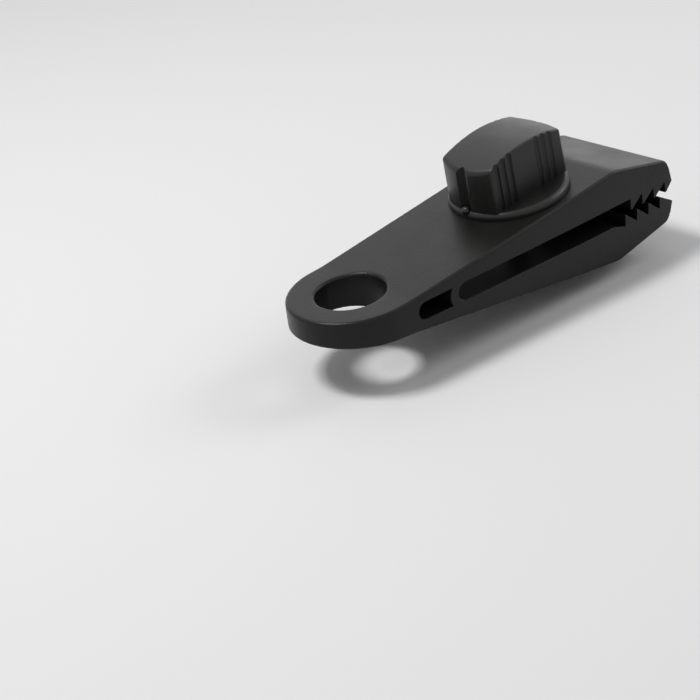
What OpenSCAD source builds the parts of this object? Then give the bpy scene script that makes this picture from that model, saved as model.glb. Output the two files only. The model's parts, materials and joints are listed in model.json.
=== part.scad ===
// Tarp clip: a moulded clip with an eyelet and toothed jaws, closed by a thumb knob on a bolt.
// Origin at the centre of the eyelet's bore, on the mid-plane. +X runs to the jaws, +Z up to the knob.

/* [Eyelet] */
// Radius of the eyelet's bore
bore_r = 7.2; // [6:0.1:8.2]
// Outer radius of the round end
eyelet_r = 13.8; // [12.5:0.1:14.6]
// Distance from the bore's centre to the centre of the round end's arc
eyelet_shift = 0.8; // [0:0.1:1.6]
// Thickness of the clip at the round end
end_t = 5.4; // [4.2:0.1:6.4]
// Thickness of the clip where the arms begin to spread
shoulder_t = 7.2; // [6.6:0.1:8]
// Distance from the bore to where the arms begin to spread
shoulder_x = 4; // [2:0.1:6]
// Wall left round the bore inside the slot
ring_wall = 2.8; // [2:0.1:3]
// Width of the break along the eyelet's rims
rim_break = 0.7; // [0.3:0.05:1]

/* [Jaws] */
// Width across the jaws
jaw_w = 30; // [29.4:0.2:36]
// Distance from the bore to where the sides run parallel
parallel_x = 51; // [40:0.5:56]
// Distance from the bore to the crease of the nose
nose_x = 62.3; // [60:0.1:64]
// Distance from the bore to the top of the tip
tip_x = 79.1; // [78.6:0.1:84]
// How far the front leans out below the top of the tip
tip_lean = 0.9; // [0.4:0.1:2]
// Thickness over both arms at the crease of the nose
nose_t = 21; // [18:0.2:24]
// Thickness over both arms at the tip
tip_t = 14.2; // [12:0.1:17]
// Bend radius of the nose's crease
nose_bend_r = 9; // [2:0.5:14]
// Radius of the tip's top edge
tip_edge_r = 2.4; // [0.5:0.1:3]
// Width of the break along the outer edges of the arms
edge_break = 0.6; // [0.3:0.05:0.9]

/* [Slot] */
// Distance from the bore to the closed end of the slot
slot_x = 5.3; // [4.6:0.1:6]
// Height of the slot at its closed end
slot_in = 3.7; // [3.3:0.1:3.9]
// Height of the slot at the teeth
slot_out = 4.6; // [4.4:0.1:5]
// Height of the slot's middle above the bore's mid-plane
slot_lift = 0.25; // [0:0.05:0.4]

/* [Teeth] */
// Number of teeth on each jaw
tooth_count = 4; // [2:1:4]
// Distance between teeth
tooth_pitch = 3.75; // [3:0.05:3.8]
// Depth of a tooth
tooth_depth = 2.5; // [1.8:0.1:2.8]
// Width of the flat on a tooth's tip
tooth_flat = 0.4; // [0.2:0.05:0.8]
// Distance from the bore to the steep side of the first upper tooth
tooth_x = 66.4; // [66:0.1:67]
// Height of the upper tooth tips above the bore's mid-plane
upper_bite = 0; // [0:0.1:0.4]
// Gap between upper and lower tooth tips as the jaws stand
bite_gap = 0.6; // [0.4:0.1:1.5]
// Height of the slanting face under the last tooth
chin_h = 2; // [1:0.1:2.4]

/* [Flexing parts] */
// Distance from the bore to the strip of the lower arm that bends
strip_x = 10.4; // [10.2:0.1:10.6]
// Length of the strip that bends
strip_l = 2.8; // [2:0.1:2.9]
// Distance from the bore to the near face of the curved web
web_x = 13.7; // [13.6:0.1:15]
// Thickness of the curved web at its middle
web_t = 2.1; // [1.4:0.1:2.6]
// Radius of the web's face towards the eyelet
web_face_r = 3.5; // [3:0.1:5]

/* [Knob] */
// Radius of the knob's flange
flange_r = 13; // [12.8:0.1:14]
// Thickness of the knob's flange
flange_t = 1.6; // [1.3:0.1:2.2]
// Rounding of the flange's upper edge
flange_edge_r = 0.8; // [0.3:0.1:1.1]
// Height of the knob at its middle
knob_h = 12.9; // [11:0.1:15]
// Width of the grip
grip_w = 14.4; // [12:0.1:15.4]
// Length of the grip at its top
grip_l = 24.4; // [23.4:0.1:24.8]
// Radius of the grip's rounded ends
grip_end_r = 14; // [12.5:0.5:18]
// How far each end of the grip leans in from foot to top
grip_lean = 0.25; // [0.1:0.05:0.4]
// Rounding along the grip's two long top edges
grip_edge_r = 0.5; // [0.4:0.1:2]
// Radius of the crowned top
crown_r = 33; // [26:1:60]
// Grooves at each end of each side of the grip
groove_count = 3; // [1:1:3]
// Distance between grooves
groove_pitch = 1.9; // [1.4:0.05:2]
// Radius of a groove
groove_r = 0.6; // [0.3:0.05:0.65]
// Distance from the middle of each side's grooves to the first groove
groove_x = 4.05; // [3.5:0.05:4.2]
// How far the middle of each side's grooves stands from the screw, towards the eyelet on one side
groove_shift = 0.85; // [0:0.05:1]
// Radius of the groove down each end of the grip
end_groove_r = 1.2; // [0.8:0.1:1.5]
// Radius and height of the pip at the foot of each end groove
pip_r = 1.1; // [1:0.05:1.2]
// Distance from the pip to the flange's rim
pip_inset = 0.2; // [0.1:0.1:0.5]

/* [Screw] */
// Distance from the bore to where the screw meets the upper face
screw_x = 45.4; // [44:0.1:46]
// Diameter of the bolt
bolt_d = 5; // [4:0.5:5]
// Length of the bolt under its head
bolt_l = 25; // [24:0.5:30]
// Height of the bolt's bearing face above the upper face
head_lift = 2.6; // [2.4:0.1:3]
// Distance across the flats of the bolt's head
head_af = 8; // [7:0.5:8]
// Height of the bolt's head
head_h = 3.5; // [2.8:0.1:4]
// Bevel at the bolt's end
bolt_bevel = 0.6; // [0.3:0.1:1]
// Distance across the flats of the nut
nut_af = 8; // [8:0.1:9]
// Height of the nut
nut_h = 4.7; // [4:0.1:5]
// Thickness of the lower arm above the nut
nut_seat_t = 2; // [1.5:0.1:2.5]

/* [Clearances] */
// Running gap round the bolt, in the upper arm and the nut
bolt_gap = 0.1; // [0.05:0.01:0.1]
// Gap between the knob and the upper face
knob_gap = 0.1; // [0.05:0.05:0.2]
// Gap round the bolt's head inside the knob
head_gap = 0.05; // [0.02:0.01:0.1]
// Gap between the nut and its pocket
nut_gap = 0.25; // [0.25:0.05:0.4]
// Room along the arm for the nut and bolt as the jaw swings
swing_room = 1.6; // [1.5:0.1:2]

/* [Hidden] */
$fn = 64;
// Overrun of every cut
over = 1;
// Depth to which a bent outline's cut reaches past the clip's own half width
cut_w = jaw_w / 2 + over;
// Facets of one rounded corner
corner_steps = 6;
plastic = "#2b2b2b";
knob_plastic = "#262626";
steel = "#b4b6b8";

// The arms spread from the shoulder to the nose at this angle
spread_slope = (nose_t - shoulder_t) / 2 / (nose_x - shoulder_x);
spread_deg = atan(spread_slope);
round_end_x = eyelet_shift - eyelet_r;
front_x = tip_x + tip_lean;
lower_bite = upper_bite - bite_gap;
lower_tooth_x = tooth_x - tooth_pitch / 2;
strip_end_x = strip_x + strip_l;
// Centre of the slot's round end
slot_end_x = slot_x + slot_in / 2;
screw_z = outer_z(screw_x);
// Places along the screw, counted up from the upper face
lower_slot_x = screw_x + (screw_z - slot_bottom(screw_x)) * spread_slope;
lower_slot_s = -(screw_z - slot_bottom(lower_slot_x)) / cos(spread_deg);
nut_seat_s = lower_slot_s - nut_seat_t;
hex_share = 1 / cos(30);

// Half thickness of the clip at x, to its outer face
function outer_z(x) =
    x < shoulder_x ? between(x, [round_end_x, end_t / 2], [shoulder_x, shoulder_t / 2])
    : x < nose_x ? between(x, [shoulder_x, shoulder_t / 2], [nose_x, nose_t / 2])
    : between(x, [nose_x, nose_t / 2], [tip_x, tip_t / 2]);

// Height at x on the straight line through points a and b
function between(x, a, b) = a.y + (b.y - a.y) * (x - a.x) / (b.x - a.x);

// Half width of the clip at x, for the straight sides
flare_deg = asin((jaw_w / 2 - eyelet_r) / (parallel_x - eyelet_shift));
function half_w(x) =
    x < parallel_x
        ? between(x, [eyelet_shift, eyelet_r], [parallel_x, jaw_w / 2])
        : jaw_w / 2;

// Half height, upper face and lower face of the slot at x
function slot_half(x) = between(x, [slot_end_x, slot_in / 2], [tooth_x, slot_out / 2]);
function slot_top(x) = slot_lift + slot_half(x);
function slot_bottom(x) = slot_lift - slot_half(x);

// Unit vector along v
function unit(v) = v / norm(v);

// Arc of radius r that rounds the corner at p between a and b
function corner(a, p, b, r) =
    r == 0 ? [p]
    : let (
        u = unit(a - p),
        v = unit(b - p),
        half = acos(u * v) / 2,
        c = p + unit(u + v) * r / sin(half),
        s = p + u * r / tan(half) - c,
        e = p + v * r / tan(half) - c,
        a0 = atan2(s.y, s.x),
        turn = atan2(s.x * e.y - s.y * e.x, s * e)
    )
    [for (i = [0 : corner_steps]) let (t = a0 + turn * i / corner_steps) c + r * [cos(t), sin(t)]];

// Outline whose corners, given as [point, radius], are rounded
function rounded(spec) =
    let (n = len(spec))
    [for (i = [0 : n - 1])
        each corner(spec[(i + n - 1) % n][0], spec[i][0], spec[(i + 1) % n][0], spec[i][1])];

// Saw teeth from the first steep side at x0, given outwards from the eyelet
function teeth(x0, root_z, tip_z) =
    [for (i = [0 : tooth_count - 1])
        each let (x = x0 + i * tooth_pitch) [[x, root_z], [x, tip_z], [x + tooth_flat, tip_z]]];

function sharp(points) = [for (p = points) [p, 0]];
function reversed(list) = [for (i = [len(list) - 1 : -1 : 0]) list[i]];
function flipped(points) = [for (p = points) [p.x, -p.y]];

// Half of the slot that one arm faces at x: side 1 for the upper arm, -1 for the lower
function slot_face(x, side) = [x, slot_half(x) + side * slot_lift];

// Nose, front, chin and teeth of an arm that faces up, as [point, radius]
function jaw_face(first_x, bite, side) =
    concat(
        [
            [[nose_x, nose_t / 2], nose_bend_r],
            [[tip_x, tip_t / 2], tip_edge_r],
            [[front_x, bite + chin_h], tooth_flat]
        ],
        sharp(reversed(teeth(first_x, bite + tooth_depth, bite))),
        sharp([slot_face(first_x - tooth_pitch, side)])
    );

// Outer faces of the head, from the round end to the shoulder
function head_face() = [[round_end_x - over, outer_z(round_end_x - over)], [shoulder_x, shoulder_t / 2]];

// Head and upper arm seen from the side
function upper_outline() =
    concat(
        sharp(head_face()),
        jaw_face(tooth_x, upper_bite, 1),
        sharp([
            [slot_end_x, slot_top(slot_end_x)], [slot_end_x, slot_bottom(slot_end_x)],
            [strip_x, slot_bottom(strip_x)], [strip_x, -outer_z(strip_x)]
        ]),
        sharp(reversed(flipped(head_face())))
    );

// Lower arm seen from the side, turned to face up
function lower_outline() =
    concat(
        [[[strip_end_x, outer_z(strip_end_x)], 0]],
        jaw_face(lower_tooth_x, -lower_bite, -1),
        [[slot_face(strip_end_x, -1), 0]]
    );

module side_prism(points) {
    rotate([90, 0, 0])
        translate([0, 0, -cut_w])
            linear_extrude(2 * cut_w)
                polygon(points);
}

// Outline of the whole clip seen from above
module plan() {
    translate([eyelet_shift, 0])
        circle(eyelet_r, $fn = 128);
    tangent = eyelet_r * [-sin(flare_deg), cos(flare_deg)] + [eyelet_shift, 0];
    polygon([
        [tangent.x, -tangent.y], [parallel_x, -jaw_w / 2], [front_x + over, -jaw_w / 2],
        [front_x + over, jaw_w / 2], [parallel_x, jaw_w / 2], tangent
    ]);
}

module plan_prism() {
    translate([0, 0, -nose_t])
        linear_extrude(2 * nose_t)
            plan();
}

// Square bar on its corner, run from p to q, that breaks the edge between them
module edge_bar(p, q, size) {
    d = q - p;
    translate(p)
        rotate([0, acos(d.z / norm(d)), atan2(d.y, d.x)])
            rotate([0, 0, 45])
                translate([-size / 2, -size / 2, -size / 2])
                    cube([size, size, norm(d) + size]);
}

// Breaks along the outer edges of the upper arm, on both sides
module arm_breaks(from_x) {
    xs = [from_x, parallel_x, nose_x, tip_x];
    size = norm([edge_break, edge_break]);
    for (side = [-1, 1], i = [1 : len(xs) - 1])
        edge_bar(
            [xs[i - 1], side * half_w(xs[i - 1]), outer_z(xs[i - 1])],
            [xs[i], side * half_w(xs[i]), outer_z(xs[i])],
            size
        );
}

// Ring of triangular section that breaks the rim of the round end
module round_end_break() {
    tilt = atan((shoulder_t - end_t) / 2 / (shoulder_x - round_end_x));
    translate([eyelet_shift, 0, outer_z(eyelet_shift)])
        rotate([0, -tilt, 0])
            rotate([0, 0, 90])
                rotate_extrude(angle = 180, $fn = 128)
                    polygon([
                        [eyelet_r - rim_break, 0], [eyelet_r + over, -rim_break - over],
                        [eyelet_r + over, over], [eyelet_r - rim_break, over]
                    ]);
}

// Cone that breaks the upper rim of the bore
module bore_break() {
    rise = outer_z(bore_r) - outer_z(-bore_r);
    translate([0, 0, (outer_z(bore_r) + outer_z(-bore_r)) / 2])
        rotate([0, -atan(rise / (2 * bore_r)), 0])
            translate([0, 0, -rim_break - over])
                cylinder(r1 = bore_r - over, r2 = bore_r + rim_break + over, h = rim_break + 2 * over);
}

// Wall round the bore, closed across the slot
module bore_wall() {
    cylinder(
        r = bore_r + ring_wall, h = slot_top(strip_x) + outer_z(-bore_r - ring_wall),
        center = true, $fn = 96
    );
}

// Frame of the screw: origin on the upper face, +Z up the screw
module on_screw() {
    translate([screw_x, 0, screw_z])
        rotate([0, -spread_deg, 0])
            children();
}

// Eyelet with the upper arm and its teeth
module upper_jaw() {
    color(plastic)
        difference() {
            intersection() {
                plan_prism();
                union() {
                    difference() {
                        side_prism(rounded(upper_outline()));
                        translate([slot_end_x, 0, slot_lift])
                            rotate([90, 0, 0])
                                cylinder(r = slot_in / 2, h = 3 * cut_w, center = true);
                    }
                    bore_wall();
                }
            }
            cylinder(r = bore_r, h = nose_t, center = true, $fn = 96);
            on_screw()
                cylinder(r = bolt_d / 2 + bolt_gap, h = nose_t, center = true);
            for (side = [0, 1])
                mirror([0, 0, side]) {
                    arm_breaks(eyelet_shift);
                    round_end_break();
                    bore_break();
                }
        }
}

// Lower arm with its teeth, the bolt's slot and the nut's pocket
module lower_jaw() {
    color(plastic)
        difference() {
            intersection() {
                plan_prism();
                mirror([0, 0, 1])
                    side_prism(rounded(lower_outline()));
            }
            on_screw() {
                long_hole(bolt_d / 2 + nut_gap, swing_room);
                nut_pocket();
            }
            mirror([0, 0, 1])
                arm_breaks(strip_end_x);
        }
}

// Round hole stretched by the swing room each way along the arm
module long_hole(r, room) {
    translate([0, 0, nut_seat_s - over]) {
        for (side = [-1, 1])
            translate([side * room, 0, 0])
                cylinder(r = r, h = nut_seat_t + 2 * over);
        translate([-room, -r, 0])
            cube([2 * room, 2 * r, nut_seat_t + 2 * over]);
    }
}

// Stretched hexagon that keeps the nut from turning, open below
module nut_pocket() {
    w = nut_af / 2 + nut_gap;
    point = w * hex_share;
    flat_end = point / 2 + swing_room;
    translate([0, 0, nut_seat_s - nose_t])
        linear_extrude(nose_t)
            polygon([
                [-point - swing_room, 0], [-flat_end, -w], [flat_end, -w],
                [point + swing_room, 0], [flat_end, w], [-flat_end, w]
            ]);
}

// Thin stretch of the lower arm that bends beside the eyelet
module hinge_strip() {
    color(plastic)
        difference() {
            intersection() {
                plan_prism();
                side_prism([
                    [strip_x, slot_bottom(strip_x)], [strip_end_x, slot_bottom(strip_end_x)],
                    [strip_end_x, -outer_z(strip_end_x)], [strip_x, -outer_z(strip_x)]
                ]);
            }
            mirror([0, 0, 1])
                arm_breaks(eyelet_shift);
        }
}

// Curved web between the arms, with the long slot's round end on its far side
module spring_web() {
    end_x = web_x + web_t + slot_half(web_x + web_t);
    inner_r = slot_half(end_x);
    foot_x = end_x - inner_r / 2;
    color(plastic)
        intersection() {
            plan_prism();
            side_prism([
                [web_x, slot_bottom(web_x)], [foot_x, slot_bottom(foot_x)],
                [foot_x, slot_top(foot_x)], [web_x, slot_top(web_x)]
            ]);
            translate([0, 0, slot_lift])
                rotate([90, 0, 0])
                    difference() {
                        translate([web_x + web_face_r, 0, 0])
                            cylinder(r = web_face_r, h = 2 * cut_w, center = true);
                        translate([end_x, 0, 0])
                            cylinder(r = inner_r, h = 3 * cut_w, center = true);
                    }
        }
}

// Flange and crowned, grooved grip, moulded round the bolt's head
module thumb_knob() {
    color(knob_plastic)
        on_screw()
            difference() {
                translate([0, 0, knob_gap]) {
                    rotate_extrude($fn = 96)
                        polygon(rounded([
                            [[0, 0], 0], [[flange_r, 0], 0],
                            [[flange_r, flange_t], flange_edge_r], [[0, flange_t], 0]
                        ]));
                    grip();
                }
                head_space(head_gap);
                translate([0, 0, -over])
                    cylinder(r = bolt_d / 2 + head_gap, h = head_lift + 2 * over);
            }
}

// Drum on its side whose rim makes the grip's crowned top and its rounded long edges
module grip_drum() {
    inner_w = grip_w - 2 * grip_edge_r;
    translate([0, 0, knob_h - crown_r])
        rotate([90, 0, 0])
            rotate_extrude($fn = 128) {
                translate([0, -grip_w / 2])
                    square([crown_r - grip_edge_r, grip_w]);
                translate([0, -inner_w / 2])
                    square([crown_r, inner_w]);
                for (side = [-1, 1])
                    translate([crown_r - grip_edge_r, side * inner_w / 2])
                        circle(grip_edge_r, $fn = 32);
            }
}

// Round body whose wall is one end of the grip: side 1 for the end towards the jaws
module grip_end(side) {
    translate([side * (grip_l / 2 - grip_end_r), 0, flange_t / 2])
        cylinder(r1 = grip_end_r + grip_lean, r2 = grip_end_r, h = knob_h, $fn = 96);
}

module grip() {
    difference() {
        intersection() {
            grip_end(1);
            grip_end(-1);
            grip_drum();
        }
        for (x = [-1, 1], y = [-1, 1], i = [0 : groove_count - 1])
            translate([x * (groove_x + i * groove_pitch) + y * groove_shift, y * grip_w / 2, flange_t])
                cylinder(r = groove_r, h = knob_h, $fn = 24);
        for (x = [-1, 1])
            translate([x * grip_l / 2, 0, flange_t])
                cylinder(r = end_groove_r, h = knob_h, $fn = 32);
    }
    for (x = [-1, 1])
        translate([x * (flange_r - pip_inset - pip_r), 0, flange_t / 2])
            cylinder(r1 = pip_r, r2 = pip_r / 2, h = flange_t / 2 + pip_r, $fn = 32);
}

// Six-sided head of the bolt, grown by a gap all round
module head_space(gap) {
    translate([0, 0, head_lift - gap])
        cylinder(r = (head_af / 2 + gap) * hex_share, h = head_h + 2 * gap, $fn = 6);
}

// Hexagon bolt whose head is held in the knob
module clamp_bolt() {
    color(steel)
        on_screw() {
            head_space(0);
            translate([0, 0, head_lift - bolt_l + bolt_bevel])
                cylinder(d = bolt_d, h = bolt_l - bolt_bevel);
            translate([0, 0, head_lift - bolt_l])
                cylinder(r1 = bolt_d / 2 - bolt_bevel, r2 = bolt_d / 2, h = bolt_bevel);
        }
}

// Hexagon nut, held in the lower arm's pocket, with bevelled corners
module clamp_nut() {
    point = nut_af / 2 * hex_share;
    bevel = (point - nut_af / 2) / 2;
    color(steel)
        on_screw()
            translate([0, 0, nut_seat_s - nut_gap - nut_h])
                difference() {
                    intersection() {
                        cylinder(r = point, h = nut_h, $fn = 6);
                        rotate_extrude()
                            polygon([
                                [0, 0], [nut_af / 2, 0], [point, bevel],
                                [point, nut_h - bevel], [nut_af / 2, nut_h], [0, nut_h]
                            ]);
                    }
                    translate([0, 0, -over])
                        cylinder(r = bolt_d / 2 + bolt_gap, h = nut_h + 2 * over);
                }
}

upper_jaw();
lower_jaw();
hinge_strip();
spring_web();
thumb_knob();
clamp_bolt();
clamp_nut();
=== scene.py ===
"""Builds the looks of a moulded tarp clip, with its thumb knob, bolt and nut, around a fixed frame.

The origin is the centre of the eyelet's bore, +X runs to the jaws and +Z up to the knob.
Lengths are in metres.
"""

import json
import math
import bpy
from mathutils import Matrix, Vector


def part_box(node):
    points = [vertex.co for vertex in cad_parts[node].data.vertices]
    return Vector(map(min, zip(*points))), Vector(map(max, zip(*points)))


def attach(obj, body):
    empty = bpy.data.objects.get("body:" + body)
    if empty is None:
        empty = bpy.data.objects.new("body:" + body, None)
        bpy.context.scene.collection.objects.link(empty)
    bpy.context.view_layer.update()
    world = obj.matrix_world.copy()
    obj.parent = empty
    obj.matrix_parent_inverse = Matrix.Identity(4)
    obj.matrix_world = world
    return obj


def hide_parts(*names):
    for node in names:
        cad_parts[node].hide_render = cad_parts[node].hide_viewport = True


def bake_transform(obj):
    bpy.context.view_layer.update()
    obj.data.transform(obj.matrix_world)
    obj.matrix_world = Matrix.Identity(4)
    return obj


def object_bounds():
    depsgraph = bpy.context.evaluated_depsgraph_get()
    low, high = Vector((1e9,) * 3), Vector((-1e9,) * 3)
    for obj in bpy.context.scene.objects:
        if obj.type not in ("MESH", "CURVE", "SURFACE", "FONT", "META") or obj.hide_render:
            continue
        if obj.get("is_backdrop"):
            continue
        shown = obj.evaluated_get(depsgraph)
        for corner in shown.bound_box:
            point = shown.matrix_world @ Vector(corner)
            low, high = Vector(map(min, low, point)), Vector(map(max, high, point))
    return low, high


bl_info = {
    "name": "Tarp clip",
    "version": (1, 0, 0),
    "blender": (4, 5, 0),
    "location": "View3D > Sidebar > Tarp clip",
    "description": "Builds a moulded tarp clip with toothed jaws, a thumb knob, a bolt and a nut",
    "category": "Add Mesh",
}

import bmesh
import bpy
import numpy as np
from bpy.props import FloatProperty, FloatVectorProperty, IntProperty, PointerProperty
from bpy.types import Operator, Panel, PropertyGroup
from mathutils import Matrix, Vector

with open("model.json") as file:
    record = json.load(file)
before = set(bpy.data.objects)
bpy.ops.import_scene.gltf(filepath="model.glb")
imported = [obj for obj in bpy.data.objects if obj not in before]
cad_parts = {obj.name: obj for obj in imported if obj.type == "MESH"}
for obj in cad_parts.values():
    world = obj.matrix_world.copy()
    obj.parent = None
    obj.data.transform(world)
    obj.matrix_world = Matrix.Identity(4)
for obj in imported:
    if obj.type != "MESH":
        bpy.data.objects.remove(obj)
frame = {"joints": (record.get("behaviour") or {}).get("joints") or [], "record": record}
cad_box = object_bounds()

MM = 0.001
# Points of one piece that lie closer than this are one point
WELD = 2e-7
# Sections of an arm stand at least this far apart
STATION_GAP = 5e-6
# Faces that meet at more than this angle meet at a sharp edge
SHARP_ANGLE = math.radians(32)
# Steps of a quarter round
ROUND_STEPS = 5
# Largest shares of an arm's height that the roundings of its outer edge and of its slot's edge take
EDGE_SHARE = 0.45
SLOT_EDGE_SHARE = 0.2
# Lines along an arm's outer face, as shares of its half width
FACE_SHARES = np.linspace(0.8, 0, 5)
# Sections along the strip that bends, and rows up the curved web
STRIP_SECTIONS = 9
WEB_ROWS = 33
# How near the web's hollow face comes to running along the arms, as a share of the slot's half height
WEB_REACH = 0.97
# Sections round the eyelet's end, on to the slot, round the slot's closed end, on to the bore's rim and
# round the ring
EYELET_SECTIONS = 41
TO_SLOT_SECTIONS = 6
SLOT_END_SECTIONS = 9
TO_RIM_SECTIONS = 4
RING_SECTIONS = 9
# Lines across the eyelet's face
EYELET_LINES = 6
# How sharply the grip's sides meet its ends
CORNER_POWER = 70
# Points along a side of the grip, enough for its grooves, and round an end of it
GRIP_SIDE_POINTS = 180
GRIP_END_POINTS = 56
# Rings up the grip's wall and in across its crowned top, as shares
WALL_SHARES = (0.02, 0.5, 1)
TOP_SHARES = (0.93, 0.8, 0.65, 0.5, 0.35, 0.2, 0.08, 0)
# Where the grip's rim begins to ease from its end to its side, and over how much of its corner's angle
EASE_START = 0.8
EASE_SPAN = 0.4
# Steps of a pip from pole to pole
PIP_STEPS = 12
# Points round the bolt and its hole, the bolt's slot and the nut
BOLT_POINTS = 48
SLOT_POINTS = 64
NUT_POINTS = 96
# Rows in one turn of the thread, and how steep its flanks and broad its crests are
THREAD_ROWS = 8
THREAD_FLANK = 1.6
THREAD_CREST = 0.3
# Width of the nut's round face as a share of the nut's, its bevel, and its mouth in running gaps
NUT_FACE_SHARE = 0.97
NUT_BEVEL = math.radians(30)
NUT_MOUTH = 3
# Places of a Mix node's two colours and of its mixed colour, whose names it uses more than once
MIX_FIRST = 6
MIX_SECOND = 7
MIX_RESULT = 2
# Refractive index of nylon and of ABS
PLASTIC_IOR = 1.53
# How much duller or glossier a moulding's patches are than the rest
PATCH_GLOSS = 0.06
# Half the floor's side, the roughness of its paper, and the nearest that the camera sees
FLOOR_REACH = 4.0
PAPER_ROUGHNESS = 0.9
NEAR_CLIP = 10 * MM

joints = {joint["name"]: joint for joint in frame["joints"]}
eyelet_mount = next(m for m in frame["record"]["mounts"] if m["kind"] == "bore")
upper_low, upper_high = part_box("upper_jaw")


def length(name, description, millimetres):
    """A size that a user can change, given in millimetres and kept in metres."""
    return FloatProperty(
        name=name, description=description, default=millimetres * MM, unit="LENGTH", precision=5
    )


def linear(hex_colour):
    """The linear RGBA of an sRGB colour written as #rrggbb."""
    srgb = np.array([int(hex_colour[i : i + 2], 16) for i in (1, 3, 5)]) / 255
    rgb = np.where(srgb <= 0.04045, srgb / 12.92, ((srgb + 0.055) / 1.055) ** 2.4)
    return (*rgb.tolist(), 1.0)


def colour(name, description, hex_colour):
    """A colour that a user can change, given as sRGB."""
    return FloatVectorProperty(
        name=name, description=description, default=linear(hex_colour), subtype="COLOR", size=4
    )


def position(name, description, metres):
    """A place that a user can change, in metres."""
    return FloatVectorProperty(
        name=name, description=description, default=metres, subtype="XYZ", unit="LENGTH"
    )


def rotation(name, description, degrees):
    """An angle that a user can change, given in degrees."""
    return FloatProperty(
        name=name, description=description, default=math.radians(degrees), unit="ROTATION"
    )


def wattage(name, description, watts):
    """A lamp's power that a user can change."""
    return FloatProperty(name=name, description=description, default=watts, unit="POWER")


class ClipSizes(PropertyGroup):
    """Sizes of the one-piece moulding."""

    bore_r: length("Bore radius", "Radius of the eyelet's bore", eyelet_mount["dims"]["r_mm"])
    eyelet_r: length("Round end radius", "Outer radius of the round end", 13.8)
    end_t: length("End thickness", "Thickness at the round end", 5.4)
    shoulder_x: length("Shoulder place", "Distance from the bore to where the arms begin to spread", 4)
    shoulder_t: length("Shoulder thickness", "Thickness where the arms begin to spread", 7.2)
    shoulder_bend_r: length("Shoulder bend", "Bend radius where the arms begin to spread", 15)
    ring_wall: length("Ring wall", "Wall left round the bore inside the slot", 2.8)
    parallel_x: length("Parallel place", "Distance from the bore to where the sides run parallel", 51)
    nose_x: length("Nose place", "Distance from the bore to the crease of the nose", 62.3)
    nose_t: length("Nose thickness", "Thickness over both arms at the crease of the nose", 21)
    nose_bend_r: length("Nose bend", "Bend radius of the nose's crease", 9)
    tip_x: length("Tip place", "Distance from the bore to the top of the tip", 79.1)
    tip_t: length("Tip thickness", "Thickness over both arms at the tip", 14.2)
    tip_edge_r: length("Tip edge", "Radius of the tip's top edge", 2.4)
    tip_lean: length("Tip lean", "How far the front leans out below the top of the tip", 0.9)
    slot_x: length("Slot place", "Distance from the bore to the closed end of the slot", 5.3)
    slot_in: length("Slot height inside", "Height of the slot at its closed end", 3.7)
    slot_out: length("Slot height outside", "Height of the slot at the teeth", 4.6)
    slot_lift: length("Slot lift", "Height of the slot's middle above the bore's mid-plane", 0.25)
    tooth_count: IntProperty(name="Teeth", description="Number of teeth on each jaw", default=4, min=1)
    tooth_pitch: length("Tooth pitch", "Distance between teeth", 3.75)
    tooth_depth: length("Tooth depth", "Depth of a tooth", 2.5)
    tooth_flat: length("Tooth flat", "Width of the flat on a tooth's tip", 0.4)
    tooth_draft: length("Tooth draft", "Lean of a tooth's steep side", 0.1)
    tooth_round: length("Tooth rounding", "Radius along a tooth's tip and root", 0.12)
    tooth_x: length("First tooth", "Distance from the bore to the first upper tooth's steep side", 66.4)
    upper_bite: length("Upper bite", "Height of the upper tooth tips above the bore's mid-plane", 0)
    bite_gap: length("Bite gap", "Gap between upper and lower tooth tips as the jaws stand", 0.6)
    chin_h: length("Chin height", "Height of the slanting face under the last tooth", 2)
    chin_round: length("Chin rounding", "Radius of the jaw's foremost edge", 0.4)
    edge_round: length("Edge rounding", "Radius along the outer edges and the eyelet's rims", 0.7)
    slot_round: length("Slot rounding", "Radius along the slot's edges", 0.2)
    strip_x: length("Strip place", "Distance from the bore to the strip of the lower arm that bends", 10.4)
    strip_l: length("Strip length", "Length of the strip that bends", 2.8)
    web_x: length("Web place", "Distance from the bore to the near face of the curved web", 13.7)
    web_t: length("Web thickness", "Thickness of the curved web at its middle", 2.1)
    web_face_r: length("Web bulge", "Radius of the web's face towards the eyelet", 3.5)


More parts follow.
